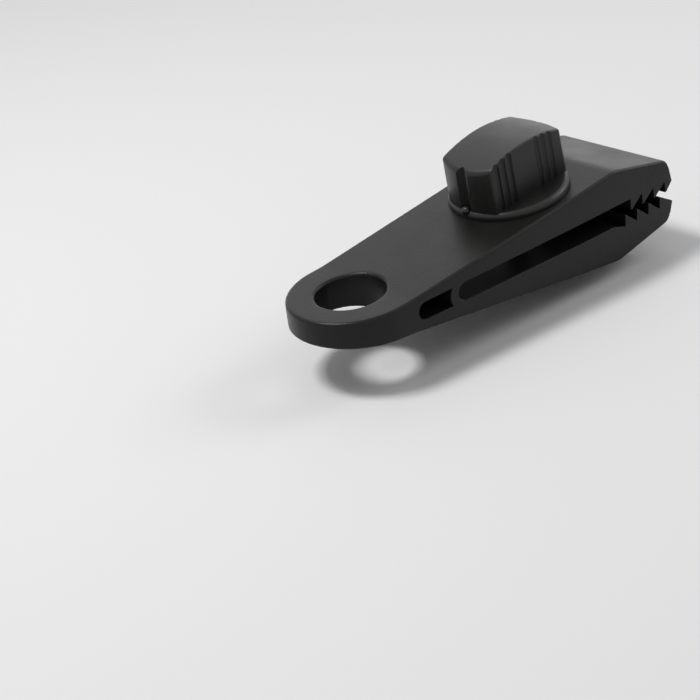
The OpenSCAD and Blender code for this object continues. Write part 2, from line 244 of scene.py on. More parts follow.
class KnobSizes(PropertyGroup):
    """Sizes of the thumb knob."""

    flange_r: length("Flange radius", "Radius of the knob's flange", 13)
    flange_t: length("Flange thickness", "Thickness of the knob's flange", 1.6)
    flange_round: length("Flange rounding", "Radius of the flange's upper edge", 1.1)
    foot_gap: length("Foot gap", "Gap between the knob and the upper arm", 0.1)
    knob_h: length("Knob height", "Height of the knob at its middle", 12.9)
    grip_w: length("Grip width", "Width of the grip", 14.4)
    grip_l: length("Grip length", "Length of the grip at its top", 24.4)
    grip_end_r: length("Grip end", "Radius of the grip's rounded ends at its top", 14)
    grip_lean: length("Grip lean", "How far the grip's ends lean out at their foot", 0.25)
    crown_r: length("Crown radius", "Radius of the crowned top", 33)
    rim_round: length("Rim rounding", "Radius along the grip's long top edges", 0.5)
    end_round: length("End rounding", "Radius along the top edges of the grip's ends", 0.9)
    groove_count: IntProperty(
        name="Grooves", description="Grooves at each end of each side", default=3, min=0
    )
    groove_x: length("First groove", "Distance from the middle of a side's grooves to the first", 4.05)
    groove_shift: length("Groove shift", "Distance of the middle of a side's grooves from the screw", 0.85)
    groove_pitch: length("Groove pitch", "Distance between grooves", 1.9)
    groove_r: length("Groove radius", "Half width of a groove, and depth of the deep ones", 0.6)
    shallow: length("Shallow groove", "Depth of the grooves at the other end of each side", 0.38)
    end_groove_r: length("End groove", "Half width of the groove down each end with its rounded edges", 1.6)
    end_groove_d: length("End groove depth", "Depth of the groove down each end", 1.1)
    pip_r: length("Pip radius", "Radius of the pip at the foot of each end groove", 1)
    pip_inset: length("Pip inset", "Distance from the pip's middle to the flange's rim", 0.5)
    pip_sink: length("Pip sink", "Depth of the pip's middle under the flange's top", 0.1)


class ScrewSizes(PropertyGroup):
    """Sizes of the bolt, the nut and the room round them."""

    bolt_d: length("Bolt diameter", "Outer diameter of the bolt's thread", 5)
    bolt_l: length("Bolt length", "Length of the bolt under its head", 25)
    thread_pitch: length("Thread pitch", "Distance between turns of the thread", 0.8)
    thread_depth: length("Thread depth", "Depth of the thread", 0.45)
    head_lift: length("Head height", "Height of the bolt's bearing face above the upper arm", 2.6)
    head_af: length("Head width", "Distance across the flats of the bolt's head", 8)
    head_h: length("Head thickness", "Height of the bolt's head", 3.5)
    bolt_bevel: length("End bevel", "Bevel at the bolt's end", 0.6)
    nut_af: length("Nut width", "Distance across the flats of the nut", 8)
    nut_h: length("Nut thickness", "Height of the nut", 4.7)
    bolt_gap: length("Bolt gap", "Running gap round the bolt", 0.1)
    nut_gap: length("Nut gap", "Gap between the nut and its pocket", 0.25)
    swing_room: length("Swing room", "Room along the arm for the nut and bolt as the jaw swings", 1.6)


class FinishColours(PropertyGroup):
    """Colours of the materials and the floor."""

    nylon: colour("Clip", "Black of the moulded clip", "#151514")
    nylon_worn: colour("Clip, paler", "Paler black where the mould left a matt patch", "#1a1a19")
    abs_black: colour("Knob", "Black of the moulded knob", "#181817")
    abs_worn: colour("Knob, paler", "Paler black of the knob's matt patches", "#1d1d1c")
    zinc: colour("Zinc", "Zinc plate of the bolt and nut", "#b6b9bd")
    zinc_dull: colour("Zinc, dull", "Dull patches in the zinc plate", "#8f9296")
    floor: colour("Floor", "Colour of the floor", "#f5f5f5")


class StudioSettings(PropertyGroup):
    """Camera and light."""

    camera_place: position("Camera place", "Where the camera stands", (-0.17864, -0.23184, 0.14233))
    azimuth: rotation("Azimuth", "Turn of the view from +Y", -37.293)
    elevation: rotation("Elevation", "Height of the view", 27.432)
    roll: rotation("Roll", "Lean of the picture", 7.729)
    lens: FloatProperty(name="Lens", description="Focal length", default=84.27, unit="CAMERA")
    key_place: position("Key place", "Soft box overhead, from the part's middle", (-0.22, 0.15, 0.55))
    key_size: length("Key size", "Side of the soft box overhead", 150)
    key_power: wattage("Key light", "Power of the soft box overhead", 2.0)
    panel_place: position("Panel place", "Panel behind, from the part's middle", (0.45, 0.75, 0.5))
    panel_size: length("Panel size", "Side of the panel behind", 1300)
    panel_power: wattage("Panel light", "Power of the panel behind", 1.9)
    fill_place: position("Fill place", "Box to the right, from the part's middle", (0.52, -0.2, 0.36))
    fill_size: length("Fill size", "Side of the box to the right", 280)
    fill_power: wattage("Fill light", "Power of the box to the right", 0.9)
    sky: FloatProperty(name="Sky", description="Strength of the even light all round", default=0.24)
    surround: FloatProperty(
        name="Surround", description="How pale the surround looks, directly and in gloss", default=0.85
    )
    fade_start: length("Fade start", "Distance from the part at which the floor begins to fade", 300)
    fade_end: length("Fade end", "Distance from the part at which the floor has faded", 1100)


class TarpClip(PropertyGroup):
    """Everything that can be set."""

    clip: PointerProperty(type=ClipSizes)
    knob: PointerProperty(type=KnobSizes)
    screw: PointerProperty(type=ScrewSizes)
    finish: PointerProperty(type=FinishColours)
    studio: PointerProperty(type=StudioSettings)


def quarter():
    """Cosine and sine of a quarter turn from 0 to 90 degrees."""
    turn = np.linspace(0, np.pi / 2, ROUND_STEPS + 1)
    return np.cos(turn), np.sin(turn)


def rounded(points, radii):
    """Polyline whose inner corners become arcs, each of its own radius and tangent to both sides."""
    points = np.asarray(points, float)
    parts = [points[:1]]
    for before, corner, after, radius in zip(points[:-2], points[1:-1], points[2:], radii[1:-1]):
        back = (before - corner) / np.linalg.norm(before - corner)
        ahead = (after - corner) / np.linalg.norm(after - corner)
        half = math.acos(np.clip(back @ ahead, -1, 1)) / 2
        centre = corner + (back + ahead) / np.linalg.norm(back + ahead) * radius / math.sin(half)
        first = corner + back * radius / math.tan(half) - centre
        last = corner + ahead * radius / math.tan(half) - centre
        sweep = math.atan2(first[0] * last[1] - first[1] * last[0], first @ last)
        angles = math.atan2(first[1], first[0]) + sweep * np.linspace(0, 1, ROUND_STEPS + 1)
        parts.append(centre + radius * np.stack([np.cos(angles), np.sin(angles)], 1))
    parts.append(points[-1:])
    return np.concatenate(parts)


def stack(x, y, z):
    """One array of points from three arrays that broadcast together."""
    return np.stack(np.broadcast_arrays(x, y, z), -1)


def mirrored(patches):
    """The patches with their mirror images across the mid-plane."""
    return patches + [patch * (1, -1, 1) for patch in patches]


def link_mesh(name, patches):
    """Joins grids of points, of shape (rows, columns, 3), into one welded mesh with its faces outwards."""
    faces, start = [], 0
    for patch in patches:
        index = np.arange(start, start + patch.shape[0] * patch.shape[1]).reshape(patch.shape[:2])
        corners = index[:-1, :-1], index[1:, :-1], index[1:, 1:], index[:-1, 1:]
        faces.append(np.stack(corners, -1).reshape(-1, 4))
        start = index[-1, -1] + 1
    mesh = bpy.data.meshes.new(name)
    points = np.concatenate([patch.reshape(-1, 3) for patch in patches])
    mesh.from_pydata(points, [], np.concatenate(faces))
    made = bmesh.new()
    made.from_mesh(mesh)
    bmesh.ops.remove_doubles(made, verts=made.verts, dist=WELD)
    bmesh.ops.dissolve_degenerate(made, dist=WELD, edges=made.edges)
    bmesh.ops.recalc_face_normals(made, faces=made.faces)
    made.to_mesh(mesh)
    made.free()
    piece = bpy.data.objects.new(name, mesh)
    bpy.context.scene.collection.objects.link(piece)
    return piece


def combine(piece, tool, operation):
    """Cuts or joins a closed tool mesh with the piece and removes the tool."""
    modifier = piece.modifiers.new("Combine", "BOOLEAN")
    modifier.operation = operation
    modifier.solver = "EXACT"
    modifier.object = tool
    depsgraph = bpy.context.evaluated_depsgraph_get()
    mesh = bpy.data.meshes.new_from_object(piece.evaluated_get(depsgraph))
    piece.modifiers.remove(modifier)
    mesh.name = piece.name
    piece.data = mesh
    bpy.data.objects.remove(tool)


def values(items, name, width, kind):
    """Array of one property of all items, with a row for each."""
    found = np.empty(len(items) * width, kind)
    items.foreach_get(name, found)
    return found.reshape(-1, width)


def shade(piece):
    """Shades each corner with the mean normal of the faces that run smoothly into it, weighted by area.

    So a large flat face stays flat right up to the rounding beside it. Sharp edges part the faces.
    """
    mesh = piece.data
    mesh.shade_smooth()
    mesh.set_sharp_from_angle(angle=SHARP_ANGLE)
    modifier = piece.modifiers.new("Parted", "EDGE_SPLIT")
    modifier.split_angle = SHARP_ANGLE
    depsgraph = bpy.context.evaluated_depsgraph_get()
    parted = bpy.data.meshes.new_from_object(piece.evaluated_get(depsgraph))
    piece.modifiers.remove(modifier)
    faces = parted.polygons
    weighted = values(faces, "normal", 3, float) * values(faces, "area", 1, float)
    corners = values(parted.loops, "vertex_index", 1, np.int32)[:, 0]
    total = np.zeros((len(parted.vertices), 3))
    np.add.at(total, corners, weighted.repeat(values(faces, "loop_total", 1, np.int32)[:, 0], 0))
    total /= np.linalg.norm(total, axis=1, keepdims=True)
    mesh.normals_split_custom_set(total[corners])
    bpy.data.meshes.remove(parted)


def dress(piece, material, nodes):
    """Shades the piece, gives it its finish and hides the CAD nodes that it replaces."""
    piece.data.materials.clear()
    piece.data.materials.append(material)
    shade(piece)
    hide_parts(*nodes)


def half_width(s, x):
    """Half width of the clip's straight sides at x: flaring from the round end, then parallel."""
    centre = upper_low.x + s.eyelet_r
    return np.interp(x, [centre, s.parallel_x], [s.eyelet_r, upper_high.y])


def face_height(s, x):
    """Height of the outer face at x, from the round end over the shoulder's bend to the nose."""
    slope = (s.shoulder_t - s.end_t) / 2 / (s.shoulder_x - upper_low.x)
    over = s.eyelet_r
    start = (upper_low.x - over, s.end_t / 2 - over * slope)
    line = rounded(
        [start, (s.shoulder_x, s.shoulder_t / 2), (s.nose_x, s.nose_t / 2)], [0, s.shoulder_bend_r, 0]
    )
    return np.interp(x, line[:, 0], line[:, 1])


def slot_half(s, x):
    """Half height of the slot at x: a round closed end, then two straight faces that open slowly."""
    end_r = s.slot_in / 2
    centre = s.slot_x + end_r
    arc = np.sqrt(np.maximum(end_r**2 - (np.minimum(x, centre) - centre) ** 2, 0))
    line = end_r + (s.slot_out / 2 - end_r) * (x - centre) / (s.tooth_x - centre)
    return np.where(x < centre, arc, line)


def arm_outline(s, first_tooth, bite, lift):
    """Upper and lower line of an arm that faces up, as points (x, z) from the strip to the foremost edge.

    The upper line is the outer face, the nose and the leaning front. The lower line is the slot's face, the
    saw teeth, each with a steep side towards the eyelet and a flank that climbs outwards, and the chin.
    """
    root, tip = bite + s.tooth_depth, bite
    x = first_tooth + s.tooth_pitch * np.arange(s.tooth_count)[::-1]
    # Flat's end, tip and root of each tooth, from the chin back to the eyelet
    tooth = np.stack(
        [
            np.stack([x + s.tooth_draft + s.tooth_flat, np.full_like(x, tip)], 1),
            np.stack([x + s.tooth_draft, np.full_like(x, tip)], 1),
            np.stack([x, np.full_like(x, root)], 1),
        ],
        1,
    ).reshape(-1, 2)
    slot_end = first_tooth - s.tooth_pitch
    points = [
        (s.strip_x, face_height(s, s.strip_x)),
        (s.nose_x, s.nose_t / 2),
        (s.tip_x, s.tip_t / 2),
        (s.tip_x + s.tip_lean, bite + s.chin_h),
        *tooth,
        (slot_end, lift + slot_half(s, slot_end)),
        (s.strip_x, lift + slot_half(s, s.strip_x)),
    ]
    radii = [0, s.nose_bend_r, s.tip_edge_r, s.chin_round, *[s.tooth_round] * len(tooth), 0, 0]
    line = rounded(points, radii)
    front = line[:, 0].argmax()
    return line[: front + 1], line[front:][::-1]


def arm_half(s, first_tooth, bite, lift):
    """Grid of the +Y half of an arm that faces up: sections across the arm at stations along X.

    Each section runs from the slot's face at the mid-plane out to the slot's rounded edge, up the side, over
    the rounded outer edge and back to the mid-plane. On the steep front the rounding is measured square to
    the face.
    """
    upper, lower = arm_outline(s, first_tooth, bite, lift)
    strip = np.linspace(s.strip_x, s.strip_x + s.strip_l, STRIP_SECTIONS)
    x = np.unique(np.concatenate([upper[:, 0], lower[:, 0], strip, [s.parallel_x]]).round(8))
    x = x[np.append(np.diff(x) > STATION_GAP, True)]
    top = np.interp(x, upper[:, 0], upper[:, 1])[:, None]
    bottom = np.interp(x, lower[:, 0], lower[:, 1])[:, None]
    tall = top - bottom
    steep = np.where(x > s.nose_x, np.hypot(1, np.gradient(top[:, 0], x)), 1)[:, None]
    side = half_width(s, x)[:, None]
    edge = np.minimum(s.edge_round, EDGE_SHARE * tall / steep)
    low_edge = np.minimum(s.slot_round, SLOT_EDGE_SHARE * tall)
    cos, sin = quarter()
    low_y, low_z = side - low_edge * (1 - cos[::-1]), bottom + low_edge * (1 - sin[::-1])
    top_y, top_z = side - edge * (1 - cos), top - edge * (1 - sin) * steep
    y = np.concatenate([0 * x[:, None], low_y, top_y, (side - edge) * FACE_SHARES], 1)
    z = np.concatenate([bottom, low_z, top_z, top + 0 * FACE_SHARES], 1)
    return stack(x[:, None], y, z)


def end_cap(half):
    """Flat face across the first section of a half grid and its mirror image."""
    return np.stack([half[0], half[0] * (1, -1, 1)], 1)


def head_half(s, lift):
    """Grids of the upper half of the eyelet on the +Y side, from the round end to the strip.

    Stations follow the plan's outline. At each, a line starts at the slot's edge, or at the wall's middle
    where there is no slot, climbs the wall, turns over the rounded rim and crosses the face to the bore's
    rounded rim and down the bore, or to the mid-plane beyond the bore.
    """
    centre = upper_low.x + s.eyelet_r
    flare = math.asin((upper_high.y - s.eyelet_r) / (s.parallel_x - centre))
    turn = np.linspace(np.pi, np.pi / 2 + flare, EYELET_SECTIONS)
    slot_end = s.slot_x + s.slot_in / 2
    ring_r = s.bore_r + s.ring_wall
    slot_turn = np.linspace(0, np.pi / 2, SLOT_END_SECTIONS)
    rim_x = s.bore_r + s.edge_round
    straight = np.concatenate(
        [
            np.linspace(centre - s.eyelet_r * math.sin(flare), s.slot_x, TO_SLOT_SECTIONS)[1:-1],
            slot_end - s.slot_in / 2 * np.cos(slot_turn),
            np.linspace(slot_end, rim_x, TO_RIM_SECTIONS)[1:],
            ring_r * np.sin(np.linspace(math.asin(rim_x / ring_r), np.pi / 2, RING_SECTIONS))[1:],
            [s.strip_x],
        ]
    )
    x = np.concatenate([centre + s.eyelet_r * np.cos(turn), straight])
    y = np.concatenate([s.eyelet_r * np.sin(turn), half_width(s, straight)])
    out_x = np.concatenate([np.cos(turn), 0 * straight])[:, None]
    out_y = np.concatenate([np.sin(turn), 0 * straight + 1])[:, None]
    y[0] = out_y[0] = 0
    half = np.where(x > s.slot_x, slot_half(s, x), 0)
    low_edge = np.minimum(s.slot_round, half / 2)[:, None]
    cos, sin = quarter()
    # Wall and rim
    low_in, low_z = low_edge * (1 - cos[::-1]), (lift + half)[:, None] + low_edge * (1 - sin[::-1])
    rim_in = s.edge_round * (1 - cos)
    rim_xs = x[:, None] - out_x * rim_in
    rim_z = face_height(s, rim_xs) - s.edge_round * (1 - sin)
    inset = np.concatenate([low_in, rim_in + 0 * low_edge], 1)
    wall = stack(x[:, None] - out_x * inset, y[:, None] - out_y * inset, np.concatenate([low_z, rim_z], 1))
    # Face to the bore for the stations before its rim, and to the mid-plane for the rest
    last = int(np.argmin(np.abs(x - rim_x)))
    angle = np.where(
        np.arange(len(x)) < len(turn),
        np.append(turn, 0 * straight),
        np.interp(x, [centre - s.eyelet_r * math.sin(flare), rim_x], [turn[-1], 0]),
    )
    inner_x = np.where(np.arange(len(x)) <= last, rim_x * np.cos(angle), x)
    inner_y = np.where(np.arange(len(x)) < last, rim_x * np.sin(angle), 0)
    inner_y[0] = 0
    share = np.linspace(0, 1, EYELET_LINES)
    face_x = wall[:, -1:, 0] + (inner_x[:, None] - wall[:, -1:, 0]) * share
    face_y = wall[:, -1:, 1] + (inner_y[:, None] - wall[:, -1:, 1]) * share
    face = stack(face_x, face_y, face_height(s, face_x))
    bore_turn = angle[: last + 1, None]
    radius = s.bore_r + s.edge_round * (1 - sin)
    bore_x, bore_y = radius * np.cos(bore_turn), radius * np.sin(bore_turn)
    bore_y[[0, -1]] = 0
    bore_z = face_height(s, bore_x) - s.edge_round * (1 - cos)
    rim = stack(bore_x, bore_y, bore_z)
    bore = np.stack([rim[:, -1], rim[:, -1] * (1, 1, 0)], 1)
    # Slot's face from its edge in to the ring, or to the mid-plane beyond the ring
    slotted = x >= s.slot_x - WELD
    ring_y = np.sqrt(np.maximum(ring_r**2 - x**2, 0)) * (x < ring_r - WELD)
    ledge = np.stack([wall[slotted, 0], np.stack([x, ring_y, lift + half], 1)[slotted]], 1)
    ring = ledge[x[slotted] <= ring_r + WELD, 1]
    return [wall, face, rim, bore, ledge], ring, wall[-1], face[-1]


def head_patches(s):
    """Grids of the eyelet, its upper half, its lower half flipped and the ring in the slot, and its end."""
    upper, ring_top, _, _ = head_half(s, s.slot_lift)
    lower, ring_bottom, end_wall, end_face = head_half(s, -s.slot_lift)
    flip = np.array([1, 1, -1])
    ring = np.stack([ring_top, ring_bottom * flip], 1)
    start = np.array([[s.strip_x, 0, slot_half(s, s.strip_x) - s.slot_lift]])
    end = np.concatenate([start, end_wall, end_face]) * flip
    return upper + [patch * flip for patch in lower] + [ring], end_cap(end[None])


def screw_frame():
    """Matrix from the screw's own axes, with its origin on the upper arm and +Z up the screw."""
    joint = joints["knob_turn"]
    up = Vector(joint["axis"]).normalized()
    across = Vector((0, 1, 0))
    along = across.cross(up)
    axes = Matrix((along, across, up)).transposed().to_4x4()
    return Matrix.Translation(Vector(joint["pos_m"])) @ axes


def on_screw(patches):
    """Grids given along the screw's own axes, set into the part's frame."""
    place = np.array(screw_frame())
    return [patch @ place[:3, :3].T + place[:3, 3] for patch in patches]


def nut_seat(s):
    """Places of the nut's two faces along the screw, from the nut's own box."""
    low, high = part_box("clamp_nut")
    middle = (screw_frame().inverted() @ ((low + high) / 2)).z
    return middle - s.nut_h / 2, middle + s.nut_h / 2


def prism(outline, low, high):
    """Closed prism on a star-shaped outline: a wall between two heights, and a fan to the middle at each."""
    loop = np.append(outline, outline[:1], 0)
    x, y = loop[:, :1], loop[:, 1:]
    share = np.array([0, 1, 1, 0])
    height = np.array([low, low, high, high])
    return [stack(x * share, y * share, height)]


def circle(radius, count):
    """Points round a circle."""
    turn = np.linspace(0, 2 * np.pi, count, endpoint=False)
    return radius * np.stack([np.cos(turn), np.sin(turn)], 1)


def long_hole(radius, room):
    """Outline of a round hole stretched by its room each way along X."""
    outline = circle(radius, SLOT_POINTS)
    outline[:, 0] += room * np.sign(outline[:, 0].round(9))
    return outline


def long_hexagon(across, room):
    """Outline of a hexagon with its points along X, stretched by its room each way."""
    outline = circle(across / 2 / math.cos(math.pi / 6), 6)
    outline[:, 0] += room * np.sign(outline[:, 0])
    return outline


def hexagon_reach(across, turn):
    """Distance from the middle of a hexagon, given across its flats and with a point on +X, to its side."""
    return across / 2 / np.cos(turn % (np.pi / 3) - np.pi / 6)


def add_node(tree, kind, settings, links=()):
    """Adds a node, sets its own settings or its sockets' values by name, and links its sockets."""
    node = tree.nodes.new(kind)
    for name, value in settings.items():
        if name in node.inputs:
            node.inputs[name].default_value = value
        else:
            setattr(node, name, value)
    for name, source in links:
        tree.links.new(source, node.inputs[name])
    return node


def mottled(name, colours, roughness, spread, clouds, marks, relief):
    """Material whose clouds change its colour and roughness together, with fine marks in relief.

    Clouds and marks are noises of a size, a detail and a roughness. The surface's roughness goes from its
    first value to its second as the clouds cross the spread. The relief is a strength and a height.
    """
    material = bpy.data.materials.new(name)
    material.use_nodes = True
    tree = material.node_tree
    shader = tree.nodes["Principled BSDF"]
    place = add_node(tree, "ShaderNodeTexCoord", {}).outputs["Object"]
    cloud, mark = (
        add_node(
            tree,
            "ShaderNodeTexNoise",
            {"Scale": 1 / size, "Detail": detail, "Roughness": rough},
            [("Vector", place)],
        ).outputs["Fac"]
        for size, detail, rough in (clouds, marks)
    )
    tint = add_node(tree, "ShaderNodeMix", {"data_type": "RGBA"}, [("Factor", cloud)])
    tint.inputs[MIX_FIRST].default_value = colours[0]
    tint.inputs[MIX_SECOND].default_value = colours[1]
    gloss = add_node(
        tree,
        "ShaderNodeMapRange",
        {"From Min": spread[0], "From Max": spread[1], "To Min": roughness[0], "To Max": roughness[1]},
        [("Value", cloud)],
    )
    bump = add_node(
        tree, "ShaderNodeBump", {"Strength": relief[0], "Distance": relief[1]}, [("Height", mark)]
    )
    tree.links.new(tint.outputs[MIX_RESULT], shader.inputs["Base Color"])
    tree.links.new(gloss.outputs["Result"], shader.inputs["Roughness"])
    tree.links.new(bump.outputs["Normal"], shader.inputs["Normal"])
    return material, shader


def moulded_plastic(name, colours, rough, shine, grain, patch):
    """Injection-moulded plastic off a spark-eroded mould: a satin black with a fine, even grain.

    The grain is drawn at several times its real size of about 0.1 mm, so that it shows. Broad patches, where
    the melt cooled against the mould, are a little paler and duller.
    """
    material, shader = mottled(
        name,
        colours,
        roughness=(rough - PATCH_GLOSS, rough + PATCH_GLOSS),
        spread=(0.25, 0.75),
        clouds=(patch, 4.0, 0.55),
        marks=(grain, 3.0, 0.6),
        relief=(0.7, 0.06 * MM),
    )
    shader.inputs["IOR"].default_value = PLASTIC_IOR
    shader.inputs["Specular IOR Level"].default_value = shine
    return material


def zinc_plate(name, colours):
    """Zinc-plated steel, barrel plated: a silvery metal with dull cloudy patches and fine tumbling marks."""
    material, shader = mottled(
        name,
        colours,
        roughness=(0.26, 0.42),
        spread=(0.3, 0.7),
        clouds=(1.6 * MM, 5.0, 0.5),
        marks=(0.25 * MM, 2.0, 0.5),
        relief=(0.2, 0.01 * MM),
    )
    shader.inputs["Metallic"].default_value = 1.0
    return material


def nylon(finish):
    """The clip's material: black nylon with a fine grain and a satin surface."""
    made = bpy.data.materials.get("moulded_black_nylon")
    return made or moulded_plastic(
        "moulded_black_nylon",
        (finish.nylon, finish.nylon_worn),
        rough=0.33,
        shine=0.19,
        grain=0.45 * MM,
        patch=9 * MM,
    )


def knob_abs(finish):
    """The knob's material: black ABS, glossier than the clip and finer in its grain."""
    return moulded_plastic(
        "moulded_black_abs",
        (finish.abs_black, finish.abs_worn),
        rough=0.36,
        shine=0.33,
        grain=0.35 * MM,
        patch=6 * MM,
    )


def zinc(finish):
    """The bolt's and nut's material."""
    made = bpy.data.materials.get("zinc_plated_steel")
    return made or zinc_plate("zinc_plated_steel", (finish.zinc, finish.zinc_dull))


class TARPCLIP_OT_upper(Operator):
    """Build the eyelet with the upper arm and its teeth"""

    bl_idname = "tarp_clip.upper"
    bl_label = "Eyelet and upper arm"

    def execute(self, context):
        settings = context.scene.tarp_clip
        s, screw = settings.clip, settings.screw
        patches, cap = head_patches(s)
        patches.append(arm_half(s, s.tooth_x, s.upper_bite, s.slot_lift))
        piece = link_mesh("clip_upper", mirrored(patches) + [cap])
        round_hole = circle(screw.bolt_d / 2 + screw.bolt_gap, BOLT_POINTS)
        hole = prism(round_hole, -s.nose_t / 2, s.nose_t / 2)
        combine(piece, link_mesh("bolt_hole", on_screw(hole)), "DIFFERENCE")
        dress(piece, nylon(settings.finish), ["upper_jaw"])
        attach(piece, "clip")
        return {"FINISHED"}


class TARPCLIP_OT_lower(Operator):
    """Build the lower arm with its teeth, its bending strip, the bolt's slot and the nut's pocket"""

    bl_idname = "tarp_clip.lower"
    bl_label = "Lower arm"

    def execute(self, context):
        settings = context.scene.tarp_clip
        s, screw = settings.clip, settings.screw
        half = arm_half(s, s.tooth_x - s.tooth_pitch / 2, s.bite_gap - s.upper_bite, -s.slot_lift)
        patches = mirrored([half]) + [end_cap(half)]
        piece = link_mesh("clip_lower", [patch * (1, 1, -1) for patch in patches])
        nut_top = nut_seat(screw)[1] + screw.nut_gap
        slot = long_hole(screw.bolt_d / 2 + screw.nut_gap, screw.swing_room)
        hole = prism(slot, nut_top - s.end_t, 0)
        seat = long_hexagon(screw.nut_af + 2 * screw.nut_gap, screw.swing_room)
        pocket = prism(seat, -s.nose_t * 2, nut_top)
        combine(piece, link_mesh("bolt_slot", on_screw(hole)), "DIFFERENCE")
        combine(piece, link_mesh("nut_pocket", on_screw(pocket)), "DIFFERENCE")
        dress(piece, nylon(settings.finish), ["lower_jaw", "hinge_strip"])
        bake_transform(piece)
        return {"FINISHED"}


class TARPCLIP_OT_web(Operator):
    """Build the curved web that joins the arms"""

    bl_idname = "tarp_clip.web"
    bl_label = "Curved web"

    def execute(self, context):
        settings = context.scene.tarp_clip
        s = settings.clip
        # Rows climb from the lower arm to the upper one, and reach into both by the slot's rounding
        end_x = s.web_x + s.web_t
        half = slot_half(s, end_x)
        rise = np.linspace(-half - s.slot_round, half + s.slot_round, WEB_ROWS)[:, None]
        near = s.web_x + s.web_face_r - np.sqrt(s.web_face_r**2 - rise**2)
        inside = np.clip(np.abs(rise), 0, half * WEB_REACH)
        far = end_x + half - np.sqrt(half**2 - inside**2)
        x = np.concatenate([near, far, far, near, near], 1)
        y = half_width(s, x) * np.array([1, 1, -1, -1, 1])
        loop = stack(x, y, s.slot_lift + rise)
        ends = [np.stack([row[[0, 3]], row[[1, 2]]]) for row in (loop[0], loop[-1])]
        piece = link_mesh("clip_web", [loop, *ends])
        dress(piece, nylon(settings.finish), ["spring_web"])
        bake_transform(piece)
        return {"FINISHED"}


def grip_outline(s):
    """Angles round the grip: at even points along its flat sides, which have grooves, and round its ends."""
    side = s.grip_w / 2
    corner = s.grip_l / 2 - s.grip_end_r + math.sqrt(s.grip_end_r**2 - side**2)
    flat = np.linspace(corner, -corner, GRIP_SIDE_POINTS, endpoint=False)
    side_turn = np.arctan2(side, flat)
    end_turn = np.linspace(np.pi - side_turn[0], np.pi + side_turn[0], GRIP_END_POINTS, endpoint=False)
    half = np.concatenate([side_turn, end_turn])
    return np.concatenate([half, half + np.pi, half[:1] + 2 * np.pi])


def grip_ring(s, turn, lean, inset):
    """Points round the grip at one height.

    The outline is the overlap of a strip and two arcs, one round each end, with its corners softened by a
    power mean of the distances to the strip and to the arc along each ray. It leans out by the lean at its
    ends and is drawn in by the inset. Round grooves reach in from the upright wall, a row at each end of
    both sides, where each side is the half-turn image of the other. The groove down the middle of each end
    is a wave, a squared cosine.
    """
    side = s.grip_w / 2
    arc = s.grip_end_r + lean - inset
    off = s.grip_end_r - s.grip_l / 2
    to_arc = np.sqrt(arc**2 - (off * np.sin(turn)) ** 2) - off * np.abs(np.cos(turn))
    # The strip is endless along X, so the inverse of the distance to its side is used
    inverse_side = np.abs(np.sin(turn)) / (side - inset)
    reach = (inverse_side**CORNER_POWER + to_arc**-CORNER_POWER) ** (-1 / CORNER_POWER)
    x, y = reach * np.cos(turn), reach * np.sin(turn)
    along = np.abs(x - np.sign(y) * s.groove_shift)[:, None]
    place = along - (s.groove_x + s.groove_pitch * np.arange(s.groove_count))
    depth = np.where(np.sign(x * y) > 0, s.groove_r, s.shallow) / s.groove_r
    floor = side - depth * np.sqrt(np.maximum(s.groove_r**2 - place**2, 0)).sum(1)
    y = np.sign(y) * np.minimum(np.abs(y), floor)
    wave = np.cos(np.pi / 2 * np.clip(y / s.end_groove_r, -1, 1)) ** 2
    end_floor = np.sqrt((s.grip_end_r + lean) ** 2 - y**2) - off - s.end_groove_d * wave
    return np.stack([np.sign(x) * np.minimum(np.abs(x), end_floor), y], 1)


def rim_rounding(s, turn):
    """Radius of the grip's top edge along each ray: one on the sides, one on the ends, eased between."""
    corner = math.atan2(s.grip_w, s.grip_l)
    from_end = np.abs((turn + np.pi / 2) % np.pi - np.pi / 2)
    ease = np.clip((from_end / corner - EASE_START) / EASE_SPAN, 0, 1)
    return s.end_round + (s.rim_round - s.end_round) * ease * ease * (3 - 2 * ease)


def ball(centre, radius):
    """Grid of a ball, from pole to pole and once round."""
    tilt = np.linspace(0, np.pi, PIP_STEPS + 1)[:, None]
    turn = np.linspace(0, 2 * np.pi, 2 * PIP_STEPS + 1)
    way = stack(np.sin(tilt) * np.cos(turn), np.sin(tilt) * np.sin(turn), np.cos(tilt))
    return centre + radius * way


